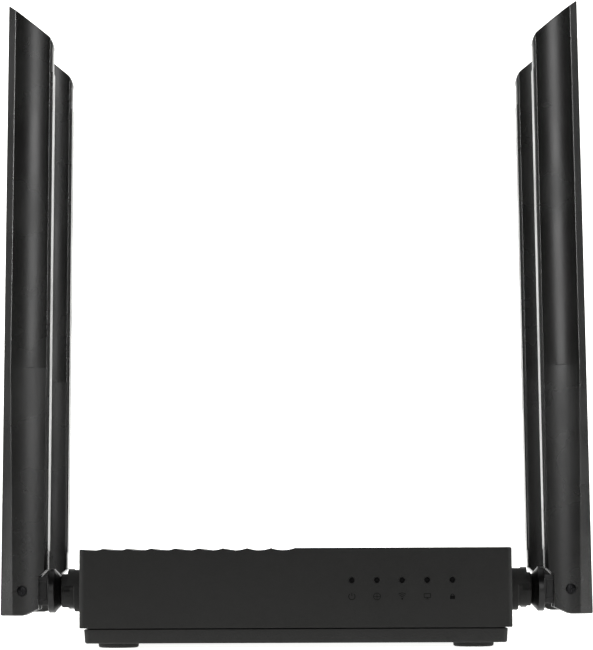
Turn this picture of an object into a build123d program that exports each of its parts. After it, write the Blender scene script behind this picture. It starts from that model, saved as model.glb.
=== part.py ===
"""Compact wireless router with four hinged blade antennas, one STEP file per piece.

Millimetres. X runs to the right, the front faces -Y and Z is up. The origin is under the middle of the
body, on the plane that the rubber feet stand on.
"""

import math
import os

from build123d import *

# Driving dimensions of the case
BODY = 106.7  # width and depth of the top cover
HEIGHT = 24.5  # feet to top
FOOT_H = 1.15
SEAM_Z = 4.9  # lower edge of the top cover
SEAM = 0.25  # open gap between the two covers
WALL = 1.8
CORNER_R = 1.4
BASE_INSET = 1.1
BASE_DRAFT = 3.5  # degrees
FLOOR_TOP = FOOT_H + WALL
CEILING = HEIGHT - WALL
INNER = BODY / 2 - WALL  # inner face of the side walls
LIP_T = 1.2
LIP_TOP = 6.4

# Grooves that run front to back over the left half of the top
GROOVES = 9
GROOVE_PITCH = BODY / 2 / GROOVES
GROOVE_DEPTH = 0.5

# Feet, case screws and wall keyholes
FOOT_AT = 44.1
FOOT_R = 5.1
FOOT_SINK = 0.5
POST_R = 2.6
SCREW_R = 1.2
KEYHOLE_X = 30.0
KEYHOLE_Y = -30.0
KEYHOLE_RUN = 6.5
KEYHOLE_HEAD_R = 3.8
KEYHOLE_NECK_R = 2.2
REAR_POST = (38.0, 26.0)
SCREW_LENGTH = 8.0  # above the floor
POST_BLIND = 4.0  # solid length left above a screw hole
REAR_SCREW_HEAD = (2.3, 0.8)  # radius, thickness
REAR_SCREW_SINK = (2.6, 0.9)  # radius, depth
VENT_X = (-18.0, 0.0, 18.0)
VENT_Y = (-18.0, -13.0, -8.0, -3.0, 2.0, 7.0, 12.0)
VENT_HALF = (7.0, 0.8)

# Indicator lights
LIGHT_X = (13.9, 20.1, 26.25, 32.4, 38.6)
LIGHT_Z = 16.5
LIGHT_HOLE_R = 0.7
LIGHT_SINK = 1.1  # of the guide's tips behind the front face

# Main board
BOARD_BOTTOM = 6.0
BOARD_T = 1.6
BOARD_TOP = BOARD_BOTTOM + BOARD_T
BOARD_X = 46.0
BOARD_FRONT = -49.0
BOARD_REAR = 49.4
BOARD_SCREWS = ((-36.0, -38.0), (36.0, -38.0), (-42.0, 14.0), (42.0, 14.0))
CONNECTOR_AT = (41.5, 21.0)

# Rear panel and ports
PORT_X = 48.2  # half width of the opening in the rear wall
PORT_TOP = 20.6
PANEL_X = 49.2
PANEL_Z = (4.8, 21.4)
PANEL_FACE = INNER - 0.1
PANEL_BACK = PANEL_FACE - 1.45
LAN_PITCH = 14.0
LAN_X = tuple(-39.2 + LAN_PITCH * i for i in range(4))
WAN_X = 18.15
WAN_W = 15.7
JACK_H = 13.3
JACK_DEPTH = 15.8
JACK_FACE = PANEL_BACK - 0.05
PLUG_W = 11.9
PLUG_Z = (12.4, 19.3)
LATCH_STEPS = ((6.4, 10.5), (3.2, 9.3))  # width and lower edge of each step of the latch notch
CUTOUT_W = 12.8
CUTOUT_Z = (8.8, 20.0)
CONTACTS = 8
CONTACT_PITCH = 1.02
CONTACT_SIZE = (0.4, 7.5, 0.25)
CONTACT_SLOPE = 9.0  # degrees
PLUG_DEEP = 13.0
BUTTON_Z = 12.0
WPS_X = 29.7
WPS_R = 2.0
POWER_X = 35.6
POWER_CAP = 5.0
DC_X = 43.2
DC_W = 9.0
DC_H = 11.0
DC_DEPTH = 14.0
DC_BARREL_R = 3.1
DC_PIN_R = 1.0
DC_Z = 13.4

# Antenna hinge, as on the right-hand side: the swivel axis runs along X, the fold pin along Y
ANTENNA_Y = 30.0
AXIS_Z = 14.0
SOCKET_R = 5.3
SOCKET_BASE_X = 56.2
SOCKET_HOOD_X = 57.8
COLLAR_R = 4.25
COLLAR_X = 59.45
SOCKET_IN_R = 4.6
SOCKET_IN_X = 46.5
SHAFT_R = 2.7
RUN_FIT = 0.05
SHAFT_END_X = 44.2
LEAD_HOLE_R = 1.2
LEAD_R = 0.57
LEAD_X = 67.7  # where the lead enters the blade
CONE_X = 59.6
CONE_R = 3.8
FLANGE_X = (61.05, 62.75)
FLANGE_R = 5.57
TONGUE_R = 3.6
TONGUE_T = 4.8
PIN_X = 69.25
PIN_R = 0.9
PIN_HEAD_R = 1.25
PIN_BORE_R = 1.4
CLIP_R = 3.9
CLIP_T = 0.9

# Antenna blade
BLADE_BOTTOM = 7.75
TIP_Z = 164.5
OUTER_X = (74.95, 73.05)  # at the bottom, at the tip
INNER_X = (63.0, 61.4)
HALF_DEPTH = (6.0, 5.2)
CREASE = (3.4, 2.0)  # from the outer side: at the bottom, above the step
STEP_Z = 70.6
TOP_ANGLE = 38.6
CHEEK_X = 65.05
CHEEK_LOW = (69.0, BLADE_BOTTOM)
CHEEK_Z = (9.5, 17.6)
SLOT_FIT = 0.2
COVER_Z = (24.0, 147.0)
COVER_HALF = 3.2
CAVITY_X = (64.9, 71.0)
CAVITY_HALF = 3.4
CAVITY_Z = (22.0, 152.0)


def block(x0, x1, y0, y1, z0, z1):
    """Box between two corners."""
    return Pos((x0 + x1) / 2, (y0 + y1) / 2, (z0 + z1) / 2) * Box(x1 - x0, y1 - y0, z1 - z0)


def rod_z(x, y, z0, z1, r):
    return Pos(x, y, (z0 + z1) / 2) * Cylinder(r, z1 - z0)


def rod_x(x0, x1, y, z, r):
    return Pos((x0 + x1) / 2, y, z) * Rot(0, 90, 0) * Cylinder(r, x1 - x0)


def rod_y(x, y0, y1, z, r):
    return Pos(x, (y0 + y1) / 2, z) * Rot(90, 0, 0) * Cylinder(r, y1 - y0)


def corners(x, y):
    """The four points (x, y) mirrored about both axes."""
    return [(sx * x, sy * y) for sx in (-1, 1) for sy in (-1, 1)]


def save(shape, node):
    """Write the solids of one node."""
    solids = shape.solids() if hasattr(shape, "solids") else [s for one in shape for s in one.solids()]
    export_step(Compound(label=node, children=list(solids)), f"parts/{node}.step")


# ---- case ----


def top_cover():
    outer = block(-BODY / 2, BODY / 2, -BODY / 2, BODY / 2, SEAM_Z, HEIGHT)
    outer = fillet(outer.edges().filter_by(Axis.Z), CORNER_R)
    cover = outer - block(-INNER, INNER, -INNER, INNER, SEAM_Z - 1, CEILING)
    half = GROOVE_PITCH / 2
    radius = (half**2 + GROOVE_DEPTH**2) / (2 * GROOVE_DEPTH)
    for i in range(GROOVES):
        x = -BODY / 2 + GROOVE_PITCH * (i + 0.5)
        cover -= rod_y(x, -BODY / 2 - 1, BODY / 2 + 1, HEIGHT - GROOVE_DEPTH + radius, radius)
    posts = [(sx * FOOT_AT, -FOOT_AT) for sx in (-1, 1)]
    posts += [(sx * REAR_POST[0], REAR_POST[1]) for sx in (-1, 1)]
    for x, y in posts:
        cover += rod_z(x, y, FLOOR_TOP + 0.1, CEILING, POST_R)
        cover -= rod_z(x, y, FLOOR_TOP, CEILING - POST_BLIND, SCREW_R + RUN_FIT)
    for x in LIGHT_X:
        cover -= rod_y(x, -BODY / 2 - 1, -INNER + 1, LIGHT_Z, LIGHT_HOLE_R)
    for sx in (-1, 1):
        for y in (-ANTENNA_Y, ANTENNA_Y):
            cover -= rod_x(sx * BODY / 2 - 5, sx * BODY / 2 + 5, y, AXIS_Z, SOCKET_IN_R)
    return cover - block(-PORT_X, PORT_X, INNER - 1, BODY / 2 + 1, SEAM_Z - 1, PORT_TOP)


def base_cover():
    side = BODY - 2 * BASE_INSET
    top_z = SEAM_Z - SEAM
    outline = Pos(0, 0, top_z) * RectangleRounded(side, side, CORNER_R)
    tray = extrude(outline, amount=-(top_z - FOOT_H), taper=BASE_DRAFT)
    hollow = INNER - 0.25 - LIP_T
    lip = INNER - 0.25
    tray += block(-lip, lip, -lip, lip, top_z - 0.5, LIP_TOP)
    tray -= block(-hollow, hollow, -hollow, hollow, FLOOR_TOP, LIP_TOP + 1)
    tray -= block(-PANEL_X - 0.2, PANEL_X + 0.2, PANEL_BACK - 0.2, lip + 1, top_z, LIP_TOP + 1)
    for x, y in BOARD_SCREWS:
        tray += rod_z(x, y, FLOOR_TOP, BOARD_BOTTOM, POST_R)
        tray -= rod_z(x, y, FLOOR_TOP + 0.4, BOARD_BOTTOM + 1, 1.05)
    for x, y in corners(FOOT_AT, FOOT_AT):
        tray -= rod_z(x, y, FOOT_H - 1, FOOT_H + FOOT_SINK, FOOT_R + 0.1)
    for sx in (-1, 1):
        tray -= rod_z(sx * FOOT_AT, -FOOT_AT, 0, FLOOR_TOP + 1, SCREW_R + 0.15)
        tray -= rod_z(sx * REAR_POST[0], REAR_POST[1], 0, FLOOR_TOP + 1, SCREW_R + 0.15)
        tray -= rod_z(sx * REAR_POST[0], REAR_POST[1], 0, FOOT_H + REAR_SCREW_SINK[1], REAR_SCREW_SINK[0])
    long, thin = VENT_HALF
    for y in VENT_Y:
        for x in VENT_X:
            tray -= block(x - long, x + long, y - thin, y + thin, 0, FLOOR_TOP + 1)
    for sx in (-1, 1):
        x = sx * KEYHOLE_X
        tray -= rod_z(x, KEYHOLE_Y, 0, FLOOR_TOP + 1, KEYHOLE_HEAD_R)
        tray -= rod_z(x, KEYHOLE_Y + KEYHOLE_RUN, 0, FLOOR_TOP + 1, KEYHOLE_NECK_R)
        tray -= block(
            x - KEYHOLE_NECK_R, x + KEYHOLE_NECK_R, KEYHOLE_Y, KEYHOLE_Y + KEYHOLE_RUN, 0, FLOOR_TOP + 1
        )
    return tray


def rubber_feet():
    feet = []
    for x, y in corners(FOOT_AT, FOOT_AT):
        top = FOOT_H + FOOT_SINK
        foot = Pos(x, y, top / 2) * Cone(FOOT_R - 0.12, FOOT_R, top)
        feet.append(foot)
    return feet


def case_screws():
    screws = []
    for sx in (-1, 1):
        for x, y, seat in (
            (sx * FOOT_AT, -FOOT_AT, FOOT_H + FOOT_SINK + 0.05),
            (sx * REAR_POST[0], REAR_POST[1], FOOT_H + 0.05),
        ):
            shank = rod_z(x, y, seat, FLOOR_TOP + SCREW_LENGTH, SCREW_R)
            if seat < FOOT_H + FOOT_SINK:
                shank += rod_z(x, y, seat, seat + REAR_SCREW_HEAD[1], REAR_SCREW_HEAD[0])
            screws.append(shank)
    return screws


def rear_panel():
    through = (PANEL_BACK - 1, PANEL_FACE + 1)
    plate = block(-PANEL_X, PANEL_X, PANEL_BACK, PANEL_FACE, *PANEL_Z)
    for x in (*LAN_X, WAN_X):
        plate -= block(x - CUTOUT_W / 2, x + CUTOUT_W / 2, *through, *CUTOUT_Z)
    plate -= rod_y(DC_X, *through, DC_Z, DC_BARREL_R + 0.5)
    plate -= rod_y(WPS_X, *through, BUTTON_Z, WPS_R + 0.15)
    half = POWER_CAP / 2 + 0.15
    hole = block(POWER_X - half, POWER_X + half, *through, BUTTON_Z - half, BUTTON_Z + half)
    hole = fillet(hole.edges().filter_by(Axis.Y), 0.8)
    return plate - hole


def light_guide():
    """One clear moulding: five columns over the lights, each turning into a round tip in its hole."""
    back = BOARD_FRONT + 3.4
    front = back - 2.2
    guide = block(LIGHT_X[0] - 1.2, LIGHT_X[-1] + 1.2, front + 0.5, back - 0.5, LIGHT_Z - 2.6, LIGHT_Z - 1.4)
    for x in LIGHT_X:
        guide += block(x - 1.1, x + 1.1, front, back, BOARD_TOP + 1.3, LIGHT_Z + 0.9)
        guide += rod_y(x, -BODY / 2 + LIGHT_SINK, back - 1, LIGHT_Z, LIGHT_HOLE_R - 0.04)
    return guide


# ---- board and what is on it ----


def main_board():
    board = block(-BOARD_X, BOARD_X, BOARD_FRONT, BOARD_REAR, BOARD_BOTTOM, BOARD_TOP)
    for sx in (-1, 1):
        notch = POST_R + 1.0
        x, y = sx * FOOT_AT, -FOOT_AT
        board -= block(x - notch, x + notch, y - notch - 4, y + notch, BOARD_BOTTOM - 1, BOARD_TOP + 1)
        board -= rod_z(sx * REAR_POST[0], REAR_POST[1], BOARD_BOTTOM - 1, BOARD_TOP + 1, POST_R + 0.5)
    for x, y in BOARD_SCREWS:
        board -= rod_z(x, y, BOARD_BOTTOM - 1, BOARD_TOP + 1, 1.3)
    return board


def board_screws():
    return [
        rod_z(x, y, FLOOR_TOP + 0.6, BOARD_TOP + 0.5, 1.0) + rod_z(x, y, BOARD_TOP, BOARD_TOP + 1.3, 2.1)
        for x, y in BOARD_SCREWS
    ]


def on_board(x, y, width, depth, height, lift=0.0):
    z = BOARD_TOP + lift
    return block(x - width / 2, x + width / 2, y - depth / 2, y + depth / 2, z, z + height)


MAIN_CHIP = (-6.0, -8.0, 14.0, 14.0, 1.2)
PAD_T = 0.5
SINK = 26.0
FINS = 7


def heat_sink():
    x, y, _, _, height = MAIN_CHIP
    lift = height + PAD_T
    sink = on_board(x, y, SINK, SINK, 1.6, lift)
    pitch = (SINK - 1.2) / (FINS - 1)
    for i in range(FINS):
        sink += on_board(x - SINK / 2 + 0.6 + pitch * i, y, 1.2, SINK, 6.5, lift)
    return sink


RADIO_AT = ((-29.4, -26.0), (27.0, -26.0))


def radio_shields():
    cans = []
    for x, y in RADIO_AT:
        can = on_board(x, y, 20, 16, 2.6) - on_board(x, y, 19.4, 15.4, 2.3)
        cans.append(can)
    return cans


def capacitors():
    spots = ((36.0, 4.0, 3.0, 9.0), (29.0, 4.0, 3.0, 9.0), (36.0, -6.0, 2.5, 7.0), (-34.0, 4.0, 2.5, 7.0))
    return [rod_z(x, y, BOARD_TOP, BOARD_TOP + h, r) for x, y, r, h in spots]


def jack(x, width):
    """Housing block of a network jack or of a row of them."""
    return block(x - width / 2, x + width / 2, JACK_FACE - JACK_DEPTH, JACK_FACE, BOARD_TOP, BOARD_TOP + JACK_H)


def jack_cavity(x):
    """Room for one plug, with its latch notch below, open to the rear."""
    depth = JACK_FACE - PLUG_DEEP
    cavity = block(x - PLUG_W / 2, x + PLUG_W / 2, depth, JACK_FACE + 1, *PLUG_Z)
    upper = PLUG_Z[0]
    for width, low in LATCH_STEPS:
        cavity += block(x - width / 2, x + width / 2, depth, JACK_FACE + 1, low, upper + 0.1)
        upper = low
    return cavity


def lan_jacks():
    middle = (LAN_X[0] + LAN_X[-1]) / 2
    body = jack(middle, LAN_PITCH * len(LAN_X))
    for x in LAN_X:
        body -= jack_cavity(x)
    return body


def jack_contacts():
    """Eight sprung wires in each jack, sloping down from the roof of the cavity towards its back."""
    wires = []
    for x in (*LAN_X, WAN_X):
        for i in range(CONTACTS):
            offset = (i - (CONTACTS - 1) / 2) * CONTACT_PITCH
            wire = Rot(-CONTACT_SLOPE, 0, 0) * Box(*CONTACT_SIZE)
            wires.append(Pos(x + offset, JACK_FACE - CONTACT_SIZE[1], PLUG_Z[1] - 0.85) * wire)
    return wires


def power_jack():
    low = BOARD_TOP
    body = block(DC_X - DC_W / 2, DC_X + DC_W / 2, JACK_FACE - DC_DEPTH, JACK_FACE, low, low + DC_H)
    return body - rod_y(DC_X, JACK_FACE - 10, JACK_FACE + 1, DC_Z, DC_BARREL_R)


def power_switch():
    body = on_board(POWER_X, 39.5, 5.6, 8.0, 7.4)
    return body - rod_y(POWER_X, 36.5, 44.5, BUTTON_Z, 1.2)


def power_button():
    half = POWER_CAP / 2
    cap = block(POWER_X - half, POWER_X + half, PANEL_BACK - 0.3, BODY / 2, BUTTON_Z - half, BUTTON_Z + half)
    cap = fillet(cap.edges().filter_by(Axis.Y), 0.7)
    cap = fillet(cap.faces().sort_by(Axis.Y)[-1].edges(), 0.4)
    wide = half + 0.5
    rim = (PANEL_BACK - 1.0, PANEL_BACK - 0.05)
    cap += block(POWER_X - wide, POWER_X + wide, *rim, BUTTON_Z - wide, BUTTON_Z + wide)
    return cap + rod_y(POWER_X, 39.0, PANEL_BACK - 0.5, BUTTON_Z, 1.1)


def wps_switch():
    body = on_board(WPS_X, 43.0, 5.0, 3.6, 6.4)
    return body + rod_y(WPS_X, 44.5, 46.0, BUTTON_Z, 0.9)


def wps_button():
    cap = rod_y(WPS_X, PANEL_BACK - 0.3, PANEL_FACE + 0.9, BUTTON_Z, WPS_R)
    cap = fillet(cap.faces().sort_by(Axis.Y)[-1].edges(), 0.3)
    cap += rod_y(WPS_X, PANEL_BACK - 1.0, PANEL_BACK - 0.05, BUTTON_Z, WPS_R + 0.45)
    return cap + rod_y(WPS_X, 46.6, PANEL_BACK - 0.5, BUTTON_Z, 1.2)


def antenna_leads():
    """Four coax leads, each from its connector on the board to the inner end of its hinge shaft."""
    leads = []
    for sx in (-1, 1):
        for sy in (-1, 1):
            x0, y0 = sx * CONNECTOR_AT[0], sy * CONNECTOR_AT[1]
            top = BOARD_TOP + 1.3
            route = [
                (x0, y0, top),
                (x0, y0, AXIS_Z),
                (x0, sy * ANTENNA_Y, AXIS_Z),
                (sx * SHAFT_END_X - sx * 0.3, sy * ANTENNA_Y, AXIS_Z),
            ]
            line = FilletPolyline(*route, radius=[2.0, 1.5])
            section = Plane(origin=route[0], z_dir=(0, 0, 1)) * Circle(LEAD_R)
            leads.append(sweep(section, path=line))
    return leads


# ---- antennas, built on the right-hand side at Y = 0 ----


def antenna_socket():
    """Bushing pressed through the side wall: disc and hood outside, collar, and a tail inside."""
    part = rod_x(BODY / 2, SOCKET_BASE_X, 0, AXIS_Z, SOCKET_R)
    hood = rod_x(BODY / 2, SOCKET_HOOD_X, 0, AXIS_Z, SOCKET_R)
    hood &= block(BODY / 2, SOCKET_HOOD_X, -SOCKET_R, SOCKET_R, AXIS_Z + 1.2, AXIS_Z + SOCKET_R)
    part += hood
    part += rod_x(BODY / 2, COLLAR_X, 0, AXIS_Z, COLLAR_R)
    part += rod_x(SOCKET_IN_X, BODY / 2, 0, AXIS_Z, SOCKET_IN_R)
    slots = block(SOCKET_HOOD_X, COLLAR_X + 1, -COLLAR_R - 1, COLLAR_R + 1, AXIS_Z - 0.2, AXIS_Z + 1.2)
    part -= slots - rod_x(SOCKET_HOOD_X, COLLAR_X, 0, AXIS_Z, COLLAR_R - 0.8)
    return part - rod_x(SOCKET_IN_X - 1, COLLAR_X + 1, 0, AXIS_Z, SHAFT_R + RUN_FIT)


def knuckle():
    """Hollow swivel shaft with its cone and flange, and the flat tongue that the blade folds about."""
    part = rod_x(SHAFT_END_X, FLANGE_X[0], 0, AXIS_Z, SHAFT_R)
    middle = (CONE_X + FLANGE_X[0]) / 2
    part += Pos(middle, 0, AXIS_Z) * Rot(0, 90, 0) * Cone(CONE_R, FLANGE_R, FLANGE_X[0] - CONE_X)
    part += rod_x(*FLANGE_X, 0, AXIS_Z, FLANGE_R)
    half = TONGUE_T / 2
    part += block(FLANGE_X[1] - 0.2, PIN_X, -half, half, AXIS_Z - TONGUE_R, AXIS_Z + TONGUE_R)
    part += rod_y(PIN_X, -half, half, AXIS_Z, TONGUE_R)
    part -= rod_y(PIN_X, -half - 1, half + 1, AXIS_Z, PIN_R + RUN_FIT)
    part -= rod_x(SHAFT_END_X - 1, PIN_X - 2.6, 0, AXIS_Z, LEAD_HOLE_R)
    groove_x = SOCKET_IN_X - 0.1
    groove = rod_x(groove_x - CLIP_T, groove_x, 0, AXIS_Z, SHAFT_R + 1)
    part -= groove - rod_x(groove_x - CLIP_T, groove_x, 0, AXIS_Z, SHAFT_R - 0.5)
    return part


def shaft_clip():
    """Spring clip in the shaft's groove, which keeps the shaft in its socket."""
    outer_x = SOCKET_IN_X - 0.12
    thick = CLIP_T - 0.04
    ring = rod_x(outer_x - thick, outer_x, 0, AXIS_Z, CLIP_R)
    ring -= rod_x(outer_x - thick - 1, outer_x + 1, 0, AXIS_Z, SHAFT_R - 0.5)
    return ring - block(outer_x - 2, outer_x + 1, -1.6, 1.6, AXIS_Z - CLIP_R - 1, AXIS_Z)


def blade_x(ends, z):
    """X of a leaning blade side at height z."""
    t = (z - BLADE_BOTTOM) / (TIP_Z - BLADE_BOTTOM)
    return ends[0] + (ends[1] - ends[0]) * t


def blade_section(z, crease):
    """Outline of the blade across its length: flat sides, two creases and a crowned broad face."""
    t = (z - BLADE_BOTTOM) / (TIP_Z - BLADE_BOTTOM)
    deep = HALF_DEPTH[0] + (HALF_DEPTH[1] - HALF_DEPTH[0]) * t
    outer = blade_x(OUTER_X, z)
    inner = blade_x(INNER_X, z)
    nose, shoulder, heel = deep * 0.45, deep * 0.9, deep * 0.8
    middle = (outer - crease + inner) / 2
    right = (outer - crease, -shoulder)
    front = ThreePointArc(right, (middle, -deep), (inner, -heel))
    back = ThreePointArc((inner, heel), (middle, deep), (outer - crease, shoulder))
    lines = Line((outer, nose), (outer, -nose)) + Line((outer, -nose), right) + front
    lines += Line((inner, -heel), (inner, heel)) + back + Line((outer - crease, shoulder), (outer, nose))
    return Plane(origin=(0, 0, z)) * make_face(lines.edges())


def blade_solid():
    lower = loft([blade_section(BLADE_BOTTOM, CREASE[0]), blade_section(STEP_Z, CREASE[1])])
    upper = loft([blade_section(STEP_Z, CREASE[1]), blade_section(TIP_Z, CREASE[1])])
    blade = lower + upper
    outer = blade_x(OUTER_X, TIP_Z)
    run = 20.0
    rise = run * math.tan(math.radians(TOP_ANGLE))
    off = make_face(
        Polyline((outer + 5, TIP_Z + 9), (outer + 5, TIP_Z), (outer, TIP_Z), (outer - run, TIP_Z - rise),
                 (outer - run, TIP_Z + 9), close=True).edges()
    )
    blade -= extrude(Plane.XZ * off, amount=20, both=True)
    inner = INNER_X[0] - 2
    notch = Polyline(
        (inner, BLADE_BOTTOM - 1), (CHEEK_LOW[0], BLADE_BOTTOM - 1), CHEEK_LOW, (CHEEK_X, CHEEK_Z[0]),
        (CHEEK_X, CHEEK_Z[1]), (INNER_X[0] + 0.1, CHEEK_Z[1] + 1.7), (inner, CHEEK_Z[1] + 1.7), close=True,
    )
    return blade - extrude(Plane.XZ * make_face(notch.edges()), amount=20, both=True)


def sleeve():
    part = blade_solid()
    half = TONGUE_T / 2 + SLOT_FIT
    reach = TONGUE_R + 0.35
    part -= block(CHEEK_X - 5, PIN_X + reach, -half, half, BLADE_BOTTOM - 1, AXIS_Z + reach)
    part -= block(*CAVITY_X, -CAVITY_HALF, CAVITY_HALF, *CAVITY_Z)
    part -= rod_z(LEAD_X, 0, AXIS_Z + reach - 0.5, CAVITY_Z[0] + 0.5, LEAD_R + 0.35)
    part -= block(INNER_X[1] - 1, CAVITY_X[0] + 0.5, -COVER_HALF, COVER_HALF, *COVER_Z)
    part -= rod_y(PIN_X, -8, 8, AXIS_Z, PIN_R)
    return part - rod_y(PIN_X, -8, -HALF_DEPTH[0] + 1.6, AXIS_Z, PIN_BORE_R)


def sleeve_cover():
    """Strip that closes the hollow blade on the side that faces the case."""
    gap = 0.06
    strip = block(INNER_X[1] - 1, CAVITY_X[0] - 0.1, -COVER_HALF + gap, COVER_HALF - gap,
                  COVER_Z[0] + gap, COVER_Z[1] - gap)
    return strip & blade_solid()


def hinge_pin():
    """Screw that the blade folds about: a head in the counterbore and a plain shank."""
    seat = -HALF_DEPTH[0] + 1.6
    pin = rod_y(PIN_X, seat, 5.2, AXIS_Z, PIN_R)
    head = rod_y(PIN_X, seat - 0.9, seat, AXIS_Z, PIN_HEAD_R)
    arm, slit = 0.8, 0.16
    head -= block(PIN_X - arm, PIN_X + arm, seat - 1.5, seat - 0.45, AXIS_Z - slit, AXIS_Z + slit)
    head -= block(PIN_X - slit, PIN_X + slit, seat - 1.5, seat - 0.45, AXIS_Z - arm, AXIS_Z + arm)
    return pin + head


def element():
    """Printed radiating element with the end of its coax soldered on."""
    board = block(CAVITY_X[0] + 0.3, CAVITY_X[1] - 0.3, -0.5, 0.5, CAVITY_Z[0] + 8, CAVITY_Z[1] - 4)
    return board + rod_z(LEAD_X, 0, AXIS_Z + TONGUE_R + 0.6, CAVITY_Z[0] + 8.5, LEAD_R)


# ---- write every node ----


def main():
    os.makedirs("parts", exist_ok=True)
    chip_x, chip_y, chip_w, chip_d, chip_h = MAIN_CHIP
    save(top_cover(), "top_cover")
    save(base_cover(), "base_cover")
    save(rear_panel(), "rear_panel")
    save(rubber_feet(), "rubber_feet")
    save(case_screws(), "case_screws")
    save(light_guide(), "light_guide")
    save(main_board(), "main_board")
    save(board_screws(), "board_screws")
    save(on_board(*MAIN_CHIP), "main_chip")
    save(on_board(chip_x, chip_y, chip_w, chip_d, PAD_T, chip_h), "thermal_pad")
    save(heat_sink(), "heat_sink")
    save(on_board(-24.0, 16.0, 10.0, 10.0, 1.0), "switch_chip")
    save([on_board(15.0, -9.0, 8.0, 12.0, 1.0), on_board(15.0, 6.0, 5.2, 5.2, 1.6)], "memory_chips")
    save([on_board(x, y, 8.0, 8.0, 0.9) for x, y in RADIO_AT], "radio_chips")
    save(radio_shields(), "radio_shields")
    save([on_board(-20.0, 28.5, 24.0, 8.0, 5.0), on_board(12.0, 28.5, 16.0, 8.0, 5.0)], "magnetics")
    save(capacitors(), "capacitors")
    save([on_board(28.5, -6.0, 6.0, 6.0, 3.0), on_board(28.5, 13.0, 6.0, 6.0, 3.0)], "inductors")
    light_y = BOARD_FRONT + 2.3
    save([on_board(x, light_y, 1.6, 0.8, 0.6) for x in LIGHT_X], "status_leds")
    save(lan_jacks(), "lan_jacks")
    save(jack(WAN_X, WAN_W) - jack_cavity(WAN_X), "wan_jack")
    save(jack_contacts(), "jack_contacts")
    save(power_jack(), "power_jack")
    save(rod_y(DC_X, JACK_FACE - 10, JACK_FACE - 1, DC_Z, DC_PIN_R), "power_jack_pin")
    save(power_switch(), "power_switch")
    save(power_button(), "power_button")
    save(wps_switch(), "wps_switch")
    save(wps_button(), "wps_button")
    save([rod_z(x, y, BOARD_TOP, BOARD_TOP + 1.2, 1.5) for x, y in corners(*CONNECTOR_AT)], "coax_connectors")
    save(antenna_leads(), "antenna_leads")

    pieces = {
        "knuckle": knuckle(),
        "shaft_clip": shaft_clip(),
        "sleeve": sleeve(),
        "sleeve_cover": sleeve_cover(),
        "hinge_pin": hinge_pin(),
        "element": element(),
    }
    socket = antenna_socket()
    sockets = []
    for end, y in (("front", -ANTENNA_Y), ("rear", ANTENNA_Y)):
        for side in ("right", "left"):
            place = Pos(0, y, 0)
            mirrored = side == "left"
            for name, piece in pieces.items():
                whole = mirror(piece, about=Plane.YZ) if mirrored else piece
                save(place * whole, f"{end}_{side}_{name}")
            sockets.append(place * (mirror(socket, about=Plane.YZ) if mirrored else socket))
    save(sockets, "antenna_sockets")


main()
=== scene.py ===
"""Visual model of a compact wireless router with four hinged blade antennas.

Laid out as an add-on: sizes and colours are properties, each group of like pieces has its own operator,
and main() runs them in order around the loaded frame. Sizes are in millimetres until a mesh is written.
"""

import math

import bmesh
import bpy
from bpy.props import FloatProperty, FloatVectorProperty, PointerProperty
from mathutils import Matrix, Vector


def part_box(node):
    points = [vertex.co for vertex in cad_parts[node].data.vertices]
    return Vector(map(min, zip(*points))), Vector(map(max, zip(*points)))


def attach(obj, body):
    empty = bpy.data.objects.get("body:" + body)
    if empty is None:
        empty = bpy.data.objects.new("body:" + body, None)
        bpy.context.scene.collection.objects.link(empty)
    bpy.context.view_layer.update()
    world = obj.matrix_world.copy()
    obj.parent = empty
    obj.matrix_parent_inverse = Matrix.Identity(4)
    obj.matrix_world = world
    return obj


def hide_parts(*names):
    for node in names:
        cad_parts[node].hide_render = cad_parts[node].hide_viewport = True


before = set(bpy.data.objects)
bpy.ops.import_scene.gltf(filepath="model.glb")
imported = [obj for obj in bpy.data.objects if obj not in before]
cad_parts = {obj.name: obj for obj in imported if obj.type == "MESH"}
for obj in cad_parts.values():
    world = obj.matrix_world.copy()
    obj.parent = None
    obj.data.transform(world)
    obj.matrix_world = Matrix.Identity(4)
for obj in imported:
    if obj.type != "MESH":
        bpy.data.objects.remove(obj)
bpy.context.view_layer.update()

bl_info = {
    "name": "Four-antenna Router",
    "version": (1, 0, 0),
    "blender": (4, 5, 0),
    "location": "View3D > Sidebar > Router",
    "description": "Builds the looks of a compact router around its frame",
    "category": "Object",
}

MM = 0.001


def low(node):
    """Lowest corner of a node in millimetres."""
    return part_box(node)[0] / MM


def high(node):
    """Highest corner of a node in millimetres."""
    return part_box(node)[1] / MM


# Measures read from the frame. Antenna measures are those of the right-hand side, where X grows outwards.
HALF = high("top_cover").x
# The seam is a value of its own, because the cover's box reaches down to the ends of its posts
COVER_LOW = 4.9
COVER_TOP = high("top_cover").z
PORT_TOP = high("rear_panel").z - 0.8
PORT_HALF = high("rear_panel").x - 1.0
PANEL_BACK = low("rear_panel").y
BASE_HALF = high("base_cover").x
BASE_LOW = low("base_cover").z
AXIS_Z = (low("antenna_sockets").z + high("antenna_sockets").z) / 2
COLLAR_END = high("antenna_sockets").x
BLADE_LOW = low("front_right_sleeve").z
BLADE_TIP = high("front_right_sleeve").z
BLADE_OUT = high("front_right_sleeve").x
BLADE_IN = low("front_right_sleeve").x
BLADE_DEEP = (high("front_right_sleeve").y - low("front_right_sleeve").y) / 2
ANTENNA_Y = (high("rear_right_sleeve").y + low("rear_right_sleeve").y) / 2
PIN_X = (high("front_right_hinge_pin").x + low("front_right_hinge_pin").x) / 2
PIN_HEAD_R = (high("front_right_hinge_pin").x - low("front_right_hinge_pin").x) / 2
PIN_END = high("front_right_hinge_pin").y + ANTENNA_Y
KNUCKLE_IN = low("front_right_knuckle").x
FLANGE_R = (high("front_right_knuckle").z - low("front_right_knuckle").z) / 2
TONGUE_R = high("front_right_knuckle").x - PIN_X
COVER_STRIP = (low("front_right_sleeve_cover"), high("front_right_sleeve_cover"))
LIGHTS = 5
VENT_ROWS = 7
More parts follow.
